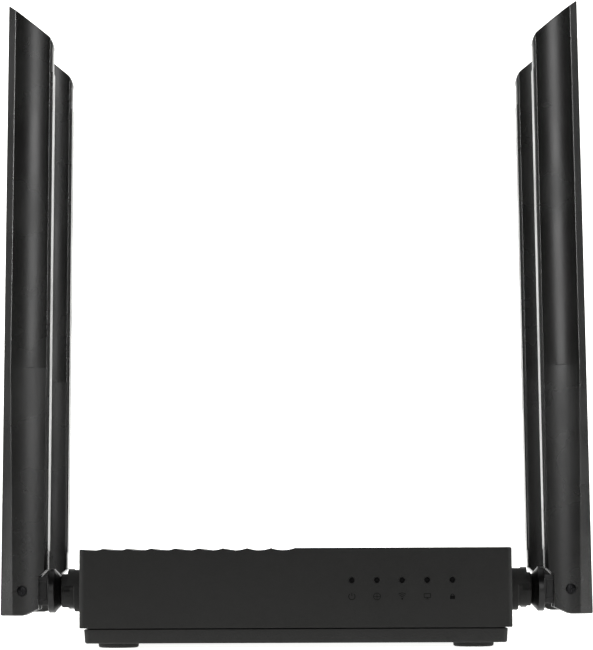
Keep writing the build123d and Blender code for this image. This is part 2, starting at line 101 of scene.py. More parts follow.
FOOT_AT = high("rubber_feet").x - 5.1
# How far the cover stays inside its box, so that the printed symbols fit in front of it
INK = 0.02
POST_AT = (38.0, 26.0)
KEYHOLE_AT = (30.0, -30.0)
LIGHT_FIRST = low("light_guide").x + 1.2
LIGHT_LAST = high("light_guide").x - 1.2
LIGHT_Z = high("light_guide").z - 0.9
# Camera: in front of the case, low, tilted up a little
LENS = 175.97
EYE = (0.0044, -0.7693, 0.0209)
EYE_PITCH = math.radians(4.69)
EYE_YAW = math.radians(-1.58)
EYE_ROLL = math.radians(-0.256)
EYE_SHIFT = 0.1093

ENDS = {"front": -1, "rear": 1}
SIDES = {"left": -1, "right": 1}


# ---- colours and materials ----


def linear(code, alpha=1.0):
    """sRGB hex code as a linear colour."""
    parts = [int(code[i : i + 2], 16) / 255 for i in (1, 3, 5)]
    return tuple(c / 12.92 if c <= 0.04045 else ((c + 0.055) / 1.055) ** 2.4 for c in parts) + (alpha,)


def add(tree, kind, links=(), **settings):
    """Adds one node, sets its properties and sockets, and links its inputs: (socket, node, output)."""
    node = tree.nodes.new(kind)
    for key, value in settings.items():
        if key in node.bl_rna.properties:
            setattr(node, key, value)
        else:
            node.inputs[key.replace("_", " ")].default_value = value
    for socket, source, output in links:
        tree.links.new(source.outputs[output], node.inputs[socket])
    return node


def new_material(name):
    """Empty material with its node tree."""
    material = bpy.data.materials.new(name)
    material.use_nodes = True
    material.node_tree.nodes.clear()
    return material, material.node_tree


def moulded(name, colour, roughness, grain_mm, depth_mm, mottle=0.18, gloss=0.5, edge_highlight=0.0):
    """Moulded plastic: a pigment that varies a little, a pebbled or polished skin, and a painted highlight
    that makes convex edges paler.
    """
    material, tree = new_material(name)
    place = add(tree, "ShaderNodeTexCoord")
    object_space = [("Vector", place, "Object")]
    cloud = add(tree, "ShaderNodeTexNoise", object_space, Scale=1 / (14 * MM), Detail=4.0)
    fineness = 1 / (grain_mm * MM)
    grain = add(tree, "ShaderNodeTexNoise", object_space, Scale=fineness, Detail=3.0, Roughness=0.6)
    pits = add(tree, "ShaderNodeTexVoronoi", object_space, Scale=1 / (grain_mm * 1.6 * MM))
    dark = tuple(c * (1 - mottle) for c in colour[:3]) + (1.0,)
    light = tuple(c * (1 + mottle) for c in colour[:3]) + (1.0,)
    tint = add(tree, "ShaderNodeMix", [("Factor", cloud, "Fac")], data_type="RGBA")
    tint.inputs[6].default_value = dark
    tint.inputs[7].default_value = light
    height = add(tree, "ShaderNodeMath", [(0, grain, "Fac"), (1, pits, "Distance")], operation="ADD")
    bump = add(tree, "ShaderNodeBump", [("Height", height, 0)], Strength=0.6, Distance=depth_mm * MM)
    # painted highlight: where the surface is sharply convex (high pointiness) the colour is mixed towards one
    # 2.5 times lighter, so edges read as catching light
    edge = add(tree, "ShaderNodeNewGeometry")
    edge_highlight_mask = add(tree, "ShaderNodeMapRange", [("Value", edge, "Pointiness")])
    edge_highlight_mask.inputs["From Min"].default_value = 0.52
    edge_highlight_mask.inputs["From Max"].default_value = 0.60
    edge_highlight_mask.inputs["To Max"].default_value = edge_highlight
    edge_lit_tint = add(tree, "ShaderNodeMix", [("Factor", edge_highlight_mask, 0), (6, tint, 2)], data_type="RGBA")
    edge_lit_tint.inputs[7].default_value = tuple(min(1.0, c * 2.5) for c in colour[:3]) + (1.0,)
    shine = add(tree, "ShaderNodeMapRange", [("Value", cloud, "Fac")])
    shine.inputs["From Min"].default_value = 0.3
    shine.inputs["From Max"].default_value = 0.7
    shine.inputs["To Min"].default_value = roughness - 0.04
    shine.inputs["To Max"].default_value = roughness + 0.04
    surface = add(
        tree, "ShaderNodeBsdfPrincipled",
        [("Base Color", edge_lit_tint, 2), ("Roughness", shine, 0), ("Normal", bump, 0)],
        IOR=1.5, Specular_IOR_Level=gloss,
    )
    add(tree, "ShaderNodeOutputMaterial", [("Surface", surface, "BSDF")])
    return material


def metal(name, colour, roughness, line_mm, stretch=(1.0, 1.0, 12.0)):
    """Metal with fine drawn or brushed lines along one direction."""
    material, tree = new_material(name)
    place = add(tree, "ShaderNodeTexCoord")
    turned = add(tree, "ShaderNodeMapping", [("Vector", place, "Object")])
    turned.inputs["Scale"].default_value = tuple(1 / s for s in stretch)
    lines = add(tree, "ShaderNodeTexNoise", [("Vector", turned, 0)], Scale=1 / (line_mm * MM), Detail=4.0)
    shade = add(tree, "ShaderNodeMix", [("Factor", lines, "Fac")], data_type="RGBA")
    shade.inputs[6].default_value = tuple(c * 0.8 for c in colour[:3]) + (1.0,)
    shade.inputs[7].default_value = colour
    bump = add(tree, "ShaderNodeBump", [("Height", lines, "Fac")], Strength=0.25, Distance=0.01 * MM)
    shine = add(tree, "ShaderNodeMapRange", [("Value", lines, "Fac")])
    shine.inputs["To Min"].default_value = roughness - 0.08
    shine.inputs["To Max"].default_value = roughness + 0.08
    surface = add(
        tree, "ShaderNodeBsdfPrincipled",
        [("Base Color", shade, 2), ("Roughness", shine, 0), ("Normal", bump, 0)],
        Metallic=1.0,
    )
    add(tree, "ShaderNodeOutputMaterial", [("Surface", surface, "BSDF")])
    return material


def light_guide_painted_shade():
    """Light guide polycarbonate coloured nearly black with almost no gloss: painted shade for the deep light
    holes; it lets only a little light through.
    """
    material, tree = new_material("polycarbonate_light_guide_painted_shade")
    place = add(tree, "ShaderNodeTexCoord")
    haze = add(tree, "ShaderNodeTexNoise", [("Vector", place, "Object")], Scale=1 / (0.8 * MM), Detail=2.0)
    shine = add(tree, "ShaderNodeMapRange", [("Value", haze, "Fac")])
    shine.inputs["To Min"].default_value = 0.30
    shine.inputs["To Max"].default_value = 0.45
    # painted shade: the near-black base colour and very low specular stand in for the shade inside the light
    # holes
    surface = add(
        tree, "ShaderNodeBsdfPrincipled", [("Roughness", shine, 0)],
        Base_Color=linear("#0B0B0C"), IOR=1.585, Transmission_Weight=0.05, Specular_IOR_Level=0.02,
    )
    add(tree, "ShaderNodeOutputMaterial", [("Surface", surface, "BSDF")])
    return material


def solder_mask():
    """Green solder mask over copper: tracks show as a slightly lighter raised pattern."""
    material, tree = new_material("fr4_board_green_solder_mask")
    place = add(tree, "ShaderNodeTexCoord")
    tracks = add(
        tree, "ShaderNodeTexBrick", [("Vector", place, "Object")],
        Scale=1 / (4 * MM), Color1=linear("#0C4A2A"), Color2=linear("#0F5732"), Mortar=linear("#1B7A48"),
    )
    tracks.inputs["Mortar Size"].default_value = 0.04
    bump = add(tree, "ShaderNodeBump", [("Height", tracks, "Fac")], Strength=0.3, Distance=0.03 * MM)
    surface = add(
        tree, "ShaderNodeBsdfPrincipled", [("Base Color", tracks, "Color"), ("Normal", bump, 0)],
        Roughness=0.28, IOR=1.55,
    )
    add(tree, "ShaderNodeOutputMaterial", [("Surface", surface, "BSDF")])
    return material


MATERIALS = {}
CASE_GRAIN = 0.30
CASE_GRAIN_DEPTH = 0.035


def make_materials(colours):
    """All the object's finishes, by name."""
    # where a moulded finish below is given an edge strength, it sets the painted highlight on its convex
    # edges
    # spark-eroded mould: a dry, even black with a fine pebble that breaks up reflections; the real
    # grain of about 0.1 mm is drawn at 0.3 mm so that it shows
    MATERIALS["cover"] = moulded(
        "abs_black_spark_eroded", colours.cover, 0.66, CASE_GRAIN, CASE_GRAIN_DEPTH, gloss=0.28, edge_highlight=0.12,
    )
    MATERIALS["base"] = moulded(
        "abs_black_base_spark_eroded", colours.base, 0.64, CASE_GRAIN, CASE_GRAIN_DEPTH,
        gloss=0.33, edge_highlight=0.10,
    )
    # polished mould: semi-gloss black with a slight orange peel, so highlights are soft bands
    MATERIALS["blade"] = moulded(
        "abs_black_polished", colours.blade, 0.27, 0.45, 0.006, mottle=0.10, edge_highlight=0.05,
    )
    # acetal from a smooth mould: a waxy black that stays dark except at its rims
    MATERIALS["hinge"] = moulded(
        "pom_black_moulded", colours.hinge, 0.30, 0.8, 0.006, mottle=0.12, gloss=0.35, edge_highlight=0.05,
    )
    # satin keys, with a painted highlight that pales their edges
    MATERIALS["button"] = moulded("abs_black_button_satin", colours.hinge, 0.38, 0.6, 0.01, edge_highlight=0.1)
    # soft elastomer: no gloss, with a painted highlight that pales the rim
    MATERIALS["rubber"] = moulded(
        "silicone_rubber_foot_moulded", linear("#1B1B1A"), 0.78, 0.5, 0.03, edge_highlight=0.1,
    )
    # thin matt ink, barely darker than the cover it is printed on
    MATERIALS["print"] = moulded("pad_print_black_ink", linear("#040404"), 0.85, 0.4, 0.004, gloss=0.1)
    # jack bodies and switches: a plain grey-black with little gloss
    MATERIALS["port"] = moulded("pbt_black_jack_moulded", linear("#16171A"), 0.45, 0.5, 0.01)
    MATERIALS["switch"] = moulded("nylon_switch_moulded", linear("#202124"), 0.50, 0.5, 0.01)
    # filled epoxy and sintered ferrite: dull, slightly sandy dark greys
    MATERIALS["epoxy"] = moulded("epoxy_chip_moulded", linear("#141417"), 0.60, 0.35, 0.012)
    MATERIALS["ferrite"] = moulded("ferrite_sintered", linear("#2E2D2C"), 0.65, 0.4, 0.02)
    # filled silicone sheet: soft blue-grey, no shine
    MATERIALS["pad"] = moulded("silicone_pad_sheet", linear("#7F8FA6"), 0.70, 0.6, 0.02)
    # moulded lens: pale cream with a smooth skin
    MATERIALS["lens"] = moulded("led_epoxy_lens_moulded", linear("#E6E2C8"), 0.30, 0.6, 0.004)
    # extruded jacket: smooth and slightly shiny along its length
    MATERIALS["jacket"] = moulded("fep_coax_jacket_extruded", linear("#26282B"), 0.35, 0.9, 0.004)
    # black zinc plating: dark metal with a satin glint
    MATERIALS["screw"] = metal("steel_black_zinc_plated", linear("#262627"), 0.34, 0.25)
    # bright plating and tin: light grey metals with fine drawn lines
    MATERIALS["steel"] = metal("steel_zinc_plated", linear("#A9ABAE"), 0.32, 0.3)
    MATERIALS["tin"] = metal("steel_sheet_tinned", linear("#B9B9B4"), 0.30, 0.5)
    # extruded aluminium: pale and satin, with fine lines
    MATERIALS["aluminium"] = metal("aluminium_extruded", linear("#C7CACD"), 0.38, 0.35)
    # gold over bronze: a warm, clear glint on the contacts
    MATERIALS["gold"] = metal("phosphor_bronze_gold_plated", linear("#E2B857"), 0.22, 0.2)
    MATERIALS["painted_shade_guide"] = light_guide_painted_shade()
    MATERIALS["board"] = solder_mask()


# ---- mesh tools ----


def write_mesh(name, points, faces, material):
    """Object from points in millimetres, with outward normals."""
    mesh = bpy.data.meshes.new(name)
    mesh.from_pydata([[c * MM for c in p] for p in points], [], faces)
    body = bmesh.new()
    body.from_mesh(mesh)
    bmesh.ops.remove_doubles(body, verts=body.verts, dist=1e-7)
    bmesh.ops.recalc_face_normals(body, faces=body.faces)
    body.to_mesh(mesh)
    body.free()
    piece = bpy.data.objects.new(name, mesh)
    bpy.context.scene.collection.objects.link(piece)
    piece.data.materials.append(MATERIALS[material])
    return piece


def bend(before, here, after, radius, steps):
    """Points of the arc that rounds the corner at a point between its neighbours."""
    here = Vector(here)
    back = Vector(before) - here
    ahead = Vector(after) - here
    reach = min(radius / math.tan(back.angle(ahead) / 2), 0.49 * back.length, 0.49 * ahead.length)
    start = here + back.normalized() * reach
    end = here + ahead.normalized() * reach
    arc = []
    for k in range(steps + 1):
        t = k / steps
        arc.append(tuple((1 - t) ** 2 * start + 2 * t * (1 - t) * here + t * t * end))
    return arc


def rounded(corners, steps=6):
    """Closed outline through corners (x, y, radius), each turned into an arc."""
    outline = []
    count = len(corners)
    for i, (x, y, radius) in enumerate(corners):
        outline += bend(corners[i - 1][:2], (x, y), corners[(i + 1) % count][:2], radius, steps)
    return outline


def bridge(rings):
    """Quads between rings of equal length. A ring is a list of points."""
    size = len(rings[0])
    points = [p for ring in rings for p in ring]
    faces = []
    for r in range(len(rings) - 1):
        for i in range(size):
            j = (i + 1) % size
            faces.append((r * size + i, r * size + j, (r + 1) * size + j, (r + 1) * size + i))
    return points, faces


def strips(first, size):
    """Cap of a ring whose second half mirrors the first: quads that run straight across."""
    half = size // 2
    return [(first + i, first + i + 1, first + size - 2 - i, first + size - 1 - i) for i in range(half - 1)]


def quarter(radius, steps=4):
    """(inset, height) pairs of a quarter round, from the side wall to the face."""
    return [
        (radius * (1 - math.cos(math.pi / 2 * k / steps)), radius * math.sin(math.pi / 2 * k / steps))
        for k in range(steps + 1)
    ]


def turned(profile, steps=64):
    """Solid of revolution about X: profile is (x, radius) pairs from one end of the axis to the other."""
    rings = []
    for x, radius in profile:
        ring = []
        for k in range(steps):
            angle = 2 * math.pi * k / steps
            ring.append((x, radius * math.cos(angle), radius * math.sin(angle)))
        rings.append(ring)
    points, faces = bridge(rings)
    last = (len(rings) - 1) * steps
    faces.append(tuple(range(steps)))
    faces.append(tuple(range(last, last + steps)))
    return points, faces


def slab(x0, x1, y0, y1, z0, z1):
    """Points and faces of a box, for cutting with."""
    points = [(x, y, z) for x in (x0, x1) for y in (y0, y1) for z in (z0, z1)]
    return points, [(0, 1, 3, 2), (4, 6, 7, 5), (0, 4, 5, 1), (2, 3, 7, 6), (0, 2, 6, 4), (1, 5, 7, 3)]


def prism(outline, y0, y1):
    """Outline of (x, z) points drawn out along Y."""
    points, faces = bridge([[(x, y, z) for x, z in outline] for y in (y0, y1)])
    count = len(outline)
    return points, faces + [tuple(range(count)), tuple(range(count, 2 * count))]


def shifted(shape, x=0.0, y=0.0, z=0.0, turn=None):
    """A shape moved, after a turn by a matrix where one is given."""
    points, faces = shape
    matrix = Matrix.Translation((x, y, z)) @ (turn or Matrix.Identity(4))
    return [tuple(matrix @ Vector(p)) for p in points], faces


ALONG_Y = Matrix.Rotation(math.pi / 2, 4, "Z")
ALONG_Z = Matrix.Rotation(-math.pi / 2, 4, "Y")


def bake(piece):
    """Applies the piece's modifiers."""
    graph = bpy.context.evaluated_depsgraph_get()
    mesh = bpy.data.meshes.new_from_object(piece.evaluated_get(graph))
    old = piece.data
    piece.modifiers.clear()
    piece.data = mesh
    bpy.data.meshes.remove(old)


def combine(piece, shapes, operation="DIFFERENCE"):
    """Cuts the shapes out of the piece, or joins them to it."""
    for shape in shapes:
        tool = write_mesh("tool", *shape, "cover")
        tool.data.materials.clear()
        modifier = piece.modifiers.new("cut", "BOOLEAN")
        modifier.operation = operation
        modifier.solver = "EXACT"
        modifier.object = tool
        bake(piece)
        bpy.data.objects.remove(tool)
    return piece


def soften(piece, width=0.0, angle=35.0):
    """Small rounds on the cut edges, then smooth shading that keeps the creases and the flats."""
    if width:
        modifier = piece.modifiers.new("round", "BEVEL")
        modifier.width = width * MM
        modifier.segments = 2
        modifier.limit_method = "ANGLE"
        modifier.angle_limit = math.radians(40)
        modifier.use_clamp_overlap = True
        bake(piece)
    piece.data.shade_smooth()
    piece.data.set_sharp_from_angle(angle=math.radians(angle))
    modifier = piece.modifiers.new("weights", "WEIGHTED_NORMAL")
    modifier.keep_sharp = True
    modifier.weight = 70
    bake(piece)
    return piece


def place_all(build, stem, nodes, body, bevel=0.0):
    """Builds a right-hand piece once for each antenna and sets it where that antenna is."""
    for end, sy in ENDS.items():
        for side, sx in SIDES.items():
            at = f"{end}_{side}"
            piece = build(f"{at}_{stem}")
            turn = Matrix.Translation((0, sy * ANTENNA_Y * MM, 0)) @ Matrix.Diagonal((sx, 1, 1, 1))
            piece.data.transform(turn)
            if sx < 0:
                piece.data.flip_normals()
            soften(piece, bevel, 30.0)
            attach(piece, body.format(at))
            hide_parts(*[node.format(at) for node in nodes])


# ---- case ----


def cover_height(x, sizes):
    """Height of the top above X: round-bottomed grooves on the left half, flat on the right."""
    if x >= -1e-6:
        return COVER_TOP
    pitch = HALF / sizes.groove_count
    u = (x % pitch) / pitch * 2 - 1
    return COVER_TOP - sizes.groove_depth / MM * (1 - u * u)


def plan_ring(half, radius, front_xs, steps=8):
    """Rounded square as its front half, left to right, then the mirror of that; front_xs are shares of
    the straight part."""
    flat = half - radius
    front = []
    for k in range(steps + 1):
        angle = math.pi + math.pi / 2 * k / steps
        front.append((-flat + radius * math.cos(angle), -flat + radius * math.sin(angle)))
    front += [(share * flat, -half) for share in front_xs]
    for k in range(steps + 1):
        angle = 1.5 * math.pi + math.pi / 2 * k / steps
        front.append((flat + radius * math.cos(angle), -flat + radius * math.sin(angle)))
    return front + [(x, -y) for x, y in reversed(front)]


def cover_ring(sizes, inward=0.0):
    """Outline of the cover moved inwards, with points across every groove."""
    corner = sizes.corner / MM
    half = HALF - INK
    flat = half - corner
    pitch = HALF / sizes.groove_count
    steps = 16
    count = int(sizes.groove_count) * steps
    xs = [-HALF + pitch * k / steps for k in range(1, count)]
    shares = [x / flat for x in xs if x > -flat + 0.05] + [0.0, 0.1, 0.3, 0.55, 0.8]
    return plan_ring(half - inward, max(0.3, corner - inward), shares)


def light_xs():
    """Where the five lights stand along X."""
    return [LIGHT_FIRST + (LIGHT_LAST - LIGHT_FIRST) * i / (LIGHTS - 1) for i in range(LIGHTS)]


def top_cover(sizes):
    """Hollow cover with rounded rims, light holes with broken edges, socket holes and the port opening."""
    wall = sizes.wall / MM
    brim = sizes.edge / MM
    ceiling = COVER_TOP - wall
    skirt = 0.2
    rings = [
        [(x, y, ceiling) for x, y in cover_ring(sizes, wall)],
        [(x, y, COVER_LOW + skirt) for x, y in cover_ring(sizes, wall)],
        [(x, y, COVER_LOW) for x, y in cover_ring(sizes, wall - skirt)],
    ]
    for step, rise in reversed(quarter(skirt, 3)):
        rings.append([(x, y, COVER_LOW + skirt - rise) for x, y in cover_ring(sizes, step)])
    for step, rise in quarter(brim, 5):
        level = cover_ring(sizes, step)
        rings.append([(x, y, cover_height(x, sizes) - brim + rise) for x, y in level])
    points, faces = bridge(rings)
    size = len(rings[0])
    faces += strips(0, size)
    faces += strips((len(rings) - 1) * size, size)
    piece = write_mesh("top_cover_shell", points, faces, "cover")
    mouth = [
        (-HALF - 1, 0.9), (-HALF, 0.82), (-HALF + 0.12, 0.73), (-HALF + 0.3, 0.7), (-HALF + wall + 1, 0.7),
    ]
    cuts = [shifted(turned(mouth, 32), x, 0, LIGHT_Z, ALONG_Y) for x in light_xs()]
    hole = [(HALF - wall - 1, 4.6), (HALF + 1, 4.6)]
    for sx in (-1, 1):
        for sy in (-1, 1):
            cuts.append(shifted(turned([(sx * x, r) for x, r in hole]), 0, sy * ANTENNA_Y, AXIS_Z))
    low_z = COVER_LOW - 1
    opening = [(-PORT_HALF, low_z), (PORT_HALF, low_z), (PORT_HALF, PORT_TOP), (-PORT_HALF, PORT_TOP)]
    wide = [(-PORT_HALF - 0.3, low_z), (PORT_HALF + 0.3, low_z), (PORT_HALF + 0.3, PORT_TOP + 0.3),
            (-PORT_HALF - 0.3, PORT_TOP + 0.3)]
    stations = ((HALF - wall - 0.5, opening), (HALF - 0.3, opening), (HALF + 0.01, wide), (HALF + 1, wide))
    rings = [[(x, y, z) for x, z in line] for y, line in stations]
    points, faces = bridge(rings)
    cuts.append((points, faces + [(0, 1, 2, 3), (12, 13, 14, 15)]))
    combine(piece, cuts)
    return soften(piece)


def base_cover(sizes):
    """Tray with a drafted side, rounded lower edge, vents, keyholes, foot seats and screw holes."""
    top_z = COVER_LOW - 0.25
    draft = 0.21
    curve = 0.5
    corner = sizes.corner / MM
    wall = sizes.wall / MM
    shares = (-0.9, -0.3, 0.3, 0.9)
    lip_half = HALF - wall - 0.25
    lip_top = high("base_cover").z
    floor_z = BASE_LOW + wall
    levels = [
        (lip_half - 1.2, 0.4, floor_z), (lip_half - 1.2, 0.4, lip_top), (lip_half, 0.6, lip_top),
        (lip_half, 0.6, top_z), (BASE_HALF - 0.1, corner - 0.1, top_z), (BASE_HALF, corner, top_z - 0.1),
    ]
    for step, rise in quarter(curve, 5):
        levels.append((BASE_HALF - draft - step, corner - step * 0.5, BASE_LOW + curve - rise))
    rings = [[(x, y, z) for x, y in plan_ring(half, radius, shares)] for half, radius, z in levels]
    points, faces = bridge(rings)
    size = len(rings[0])
    faces += strips(0, size)
    faces += strips((len(rings) - 1) * size, size)
    piece = write_mesh("base_cover_tray", points, faces, "base")
    combine(piece, [slab(-PORT_HALF - 1.2, PORT_HALF + 1.2, PANEL_BACK - 0.2, HALF, top_z - 0.02, HALF)])
    below, above = BASE_LOW - 1, floor_z + 1
    seat = high("rubber_feet").z
    upright = Matrix.Rotation(math.pi / 2, 4, "X")
    cuts = []
    for sx in (-1, 1):
        for sy in (-1, 1):
            pocket = turned([(below, 5.2), (seat, 5.2)], 48)
            cuts.append(shifted(pocket, sx * FOOT_AT, sy * FOOT_AT, 0, ALONG_Z))
        x, y = sx * POST_AT[0], POST_AT[1]
        cuts.append(shifted(turned([(below, 2.6), (BASE_LOW + 0.9, 2.6)], 40), x, y, 0, ALONG_Z))
        cuts.append(shifted(turned([(below, 1.35), (above, 1.35)], 32), x, y, 0, ALONG_Z))
        x, y = sx * KEYHOLE_AT[0], KEYHOLE_AT[1]
        neck = rounded([(-2.2, -8.7, 2.2), (2.2, -8.7, 2.2), (2.2, 0, 0.1), (-2.2, 0, 0.1)], 8)
        cuts.append(shifted(prism(neck, below, above), x, y, 0, upright))
        cuts.append(shifted(turned([(below, 3.8), (above, 3.8)], 48), x, y, 0, ALONG_Z))
    slit = rounded([(-7, -0.8, 0.8), (7, -0.8, 0.8), (7, 0.8, 0.8), (-7, 0.8, 0.8)], 5)
    for row in range(VENT_ROWS):
        for x in (-18.0, 0.0, 18.0):
            cuts.append(shifted(prism(slit, below, above), x, -18.0 + 5.0 * row, 0, upright))
    combine(piece, cuts)
    return soften(piece, 0.12)


class RouterSizes(bpy.types.PropertyGroup):
    """Sizes of the details that the frame leaves open."""

    edge: FloatProperty(name="Top edge round", description="Radius along the top rim",
                        default=0.45 * MM, unit="LENGTH")
    corner: FloatProperty(name="Corner", description="Radius of the upright corners",
                          default=1.4 * MM, unit="LENGTH")
    wall: FloatProperty(name="Wall", description="Wall thickness of the case",
                        default=1.8 * MM, unit="LENGTH")
    groove_depth: FloatProperty(name="Groove depth", description="Depth of the top grooves",
                                default=0.5 * MM, unit="LENGTH")
    groove_count: FloatProperty(name="Grooves", description="Grooves over the left half", default=9.0)
    step_height: FloatProperty(name="Blade step", description="Height where the blade's lower facet ends",
                               default=70.6 * MM, unit="LENGTH")
    crease: FloatProperty(name="Blade crease", description="Distance of the crease from the outer side",
                          default=2.0 * MM, unit="LENGTH")
    crease_low: FloatProperty(name="Blade crease at foot", description="The same at the blade's lower end",
                              default=3.4 * MM, unit="LENGTH")


class RouterColours(bpy.types.PropertyGroup):
    """Base colours of the finishes."""

    cover: FloatVectorProperty(name="Cover", description="Upper cover plastic", subtype="COLOR", size=4,
                               min=0, max=1, default=linear("#161615"))
    base: FloatVectorProperty(name="Base", description="Lower cover plastic", subtype="COLOR", size=4,
                              min=0, max=1, default=linear("#1A1A19"))
    blade: FloatVectorProperty(name="Blades", description="Antenna plastic", subtype="COLOR", size=4,
                               min=0, max=1, default=linear("#141413"))
    hinge: FloatVectorProperty(name="Hinges", description="Hinge and button plastic", subtype="COLOR", size=4,
                               min=0, max=1, default=linear("#0A0A0A"))


# ---- antennas ----


def blade_at(ends, z):
    """Measure of the tapering blade at a height, from its values at the foot and at the tip."""
    return ends[0] + (ends[1] - ends[0]) * (z - BLADE_LOW) / (BLADE_TIP - BLADE_LOW)


BLADE_OUTER = (BLADE_OUT, BLADE_OUT - 1.9)
BLADE_INNER = (BLADE_IN + 1.6, BLADE_IN)
BLADE_HALF = (BLADE_DEEP - 0.02, BLADE_DEEP - 0.8)
HEEL_X, HEEL_Y, HEEL_STEPS = 0.9, 3.2, 8
CROWN_STEPS = 18
FOLD_R = 0.9
CROWN = 0.55
STEP_DEPTH = 0.16
NOSE_R = 1.2
PIN_SEAT = 1.6
TOP_SLOPE = math.tan(math.radians(38.6))


def blade_outline(z, crease, flat=0.0, shrink=0.0):
    """Plan section of a right-hand blade, front half from the inner side outwards, then its mirror."""
    outer, inner, deep = (blade_at(ends, z) for ends in (BLADE_OUTER, BLADE_INNER, BLADE_HALF))
    outer, inner, deep = outer - shrink, inner + shrink, deep - shrink
    fold = outer - crease
    shoulder, heel, nose = deep * 0.86, deep * 0.80, deep * 0.45
    front = [(inner, -heel * 0.05), (inner, -heel * 0.2)]
    for k in range(HEEL_STEPS + 1):
        angle = math.radians(80) * k / HEEL_STEPS
        front.append((inner + HEEL_X * (1 - math.cos(angle)), HEEL_Y - heel - HEEL_Y * math.sin(angle)))
    first = front[-1]
    bow = CROWN - flat
    for k in range(1, CROWN_STEPS):
        t = k / CROWN_STEPS
        line = first[1] + (-shoulder - first[1]) * t
        front.append((first[0] + (fold - first[0]) * t, line - bow * 4 * t * (1 - t)))
    front += bend(front[-1], (fold, -shoulder), (outer, -nose), FOLD_R, 4)
    front += bend((fold, -shoulder), (outer, -nose), (outer, nose), NOSE_R, 6)
    front.append((outer, -nose * 0.2))
    return front + [(x, -y) for x, y in reversed(front)]


def blade_top(x):
    """Height of the slanted top above X, with its inner end rounded over."""
    outer = BLADE_OUTER[1]
    inner = BLADE_INNER[1]
    height = BLADE_TIP - (outer - x) * TOP_SLOPE
    u = min(1.0, max(0.0, (inner + 1.1 - x) / 1.1))
    return height - 1.7 * (1 - math.sqrt(max(0.0, 1 - u * u)))


def sleeve(name, sizes):
    """Hollow blade with its slanted top, lower facet, hinge fork, counterbore and cover recess."""
    step_z = sizes.step_height / MM
    crease = sizes.crease / MM
    foot = sizes.crease_low / MM
    rings = []
    round_low = 0.35
    ramp = 0.12
    for inward, rise in reversed(quarter(round_low, 3)):
        level = blade_outline(BLADE_LOW, foot, STEP_DEPTH, inward)
        rings.append([(x, y, BLADE_LOW + round_low - rise) for x, y in level])
    for k in range(1, 9):
        z = BLADE_LOW + (step_z - ramp - BLADE_LOW) * k / 8
        t = k / 8
        rings.append([(x, y, z) for x, y in blade_outline(z, foot + (crease - foot) * t, STEP_DEPTH)])
    z = step_z + ramp
    rings.append([(x, y, z) for x, y in blade_outline(z, crease)])
    for k in range(1, 9):
        z = step_z + (BLADE_TIP - 12 - step_z) * k / 8
        rings.append([(x, y, z) for x, y in blade_outline(z, crease)])
    brim = 0.3
    for inward, rise in quarter(brim, 4):
        level = blade_outline(BLADE_TIP, crease, 0, inward)
        rings.append([(x, y, blade_top(x) - brim + rise) for x, y in level])
    points, faces = bridge(rings)
    size = len(rings[0])
    faces += strips(0, size)
    faces += strips((len(rings) - 1) * size, size)
    piece = write_mesh(name, points, faces, "blade")
    tongue = 2.6
    reach = TONGUE_R + 0.35
    cheek = high("front_right_knuckle").x - 2 * TONGUE_R - 0.6
    toe = 69.0
    notch_top = 19.3
    notch = [
        (BLADE_IN - 2, BLADE_LOW - 1), (toe, BLADE_LOW - 1), (toe, BLADE_LOW), (cheek, 9.5), (cheek, 17.6),
        (BLADE_INNER[0] + 0.1, notch_top), (BLADE_IN - 2, notch_top),
    ]
    strip_low, strip_high = COVER_STRIP
    front = -BLADE_HALF[0]
    counterbore = [(-9, 1.75), (front + 0.02, 1.6), (front + 0.25, 1.42), (front + PIN_SEAT, 1.4)]
    cuts = [
        slab(cheek - 5, PIN_X + reach, -tongue, tongue, BLADE_LOW - 1, AXIS_Z + reach),
        prism(notch, -10, 10),
        slab(64.9, 71.0, -3.4, 3.4, 22.0, 152.0),
        slab(BLADE_IN - 1, 65.4, -3.2, 3.2, strip_low.z - 0.06, strip_high.z + 0.06),
        shifted(turned(counterbore, 40), PIN_X, 0, AXIS_Z, ALONG_Y),
        shifted(turned([(-9, 0.9), (9, 0.9)], 32), PIN_X, 0, AXIS_Z, ALONG_Y),
    ]
    return combine(piece, cuts)


def knuckle(name):
    """Hollow swivel shaft, cone and flange with rounded rims, and the tongue that the blade folds on."""
    cone, flange = COLLAR_END + 0.15, (61.05, 62.75)
    edge = 0.25
    profile = [(KNUCKLE_IN, 2.5), (KNUCKLE_IN + 0.2, 2.7), (cone, 2.7), (cone + 0.02, 3.8),
               (flange[0], FLANGE_R - edge)]
    profile += [(flange[0] + edge - rise, FLANGE_R - inward) for inward, rise in reversed(quarter(edge))]
    profile += [(flange[1] - edge + rise, FLANGE_R - inward) for inward, rise in quarter(edge)]
    groove = (low("front_right_shaft_clip").x - 0.02, high("front_right_shaft_clip").x + 0.02)
    profile[2:2] = [(groove[0], 2.7), (groove[0] + 0.01, 2.2), (groove[1] - 0.01, 2.2), (groove[1], 2.7)]
    piece = write_mesh(name, *shifted(turned(profile), 0, 0, AXIS_Z), "hinge")
    top, bottom = AXIS_Z + TONGUE_R, AXIS_Z - TONGUE_R
    end = []
    for k in range(17):
        angle = -math.pi / 2 + math.pi * k / 16
        end.append((PIN_X + TONGUE_R * math.cos(angle), AXIS_Z + TONGUE_R * math.sin(angle)))
    outline = [(flange[1] - 0.4, bottom)] + end + [(flange[1] - 0.4, top)]
    half = 2.4
    combine(piece, [prism(outline, -half, half)], "UNION")
    bore = shifted(turned([(-6, 0.95), (6, 0.95)], 32), PIN_X, 0, AXIS_Z, ALONG_Y)
    root = PIN_X - 2.6
    duct = shifted(turned([(KNUCKLE_IN - 1, 1.2), (root, 1.2)], 32), 0, 0, AXIS_Z)
    recess = []
    for sy in (-1, 1):
        recess.append(slab(63.3, root, sy * half - 0.35, sy * half + 0.35, AXIS_Z - 2.3, AXIS_Z + 2.3))
    return combine(piece, [bore, duct] + recess)


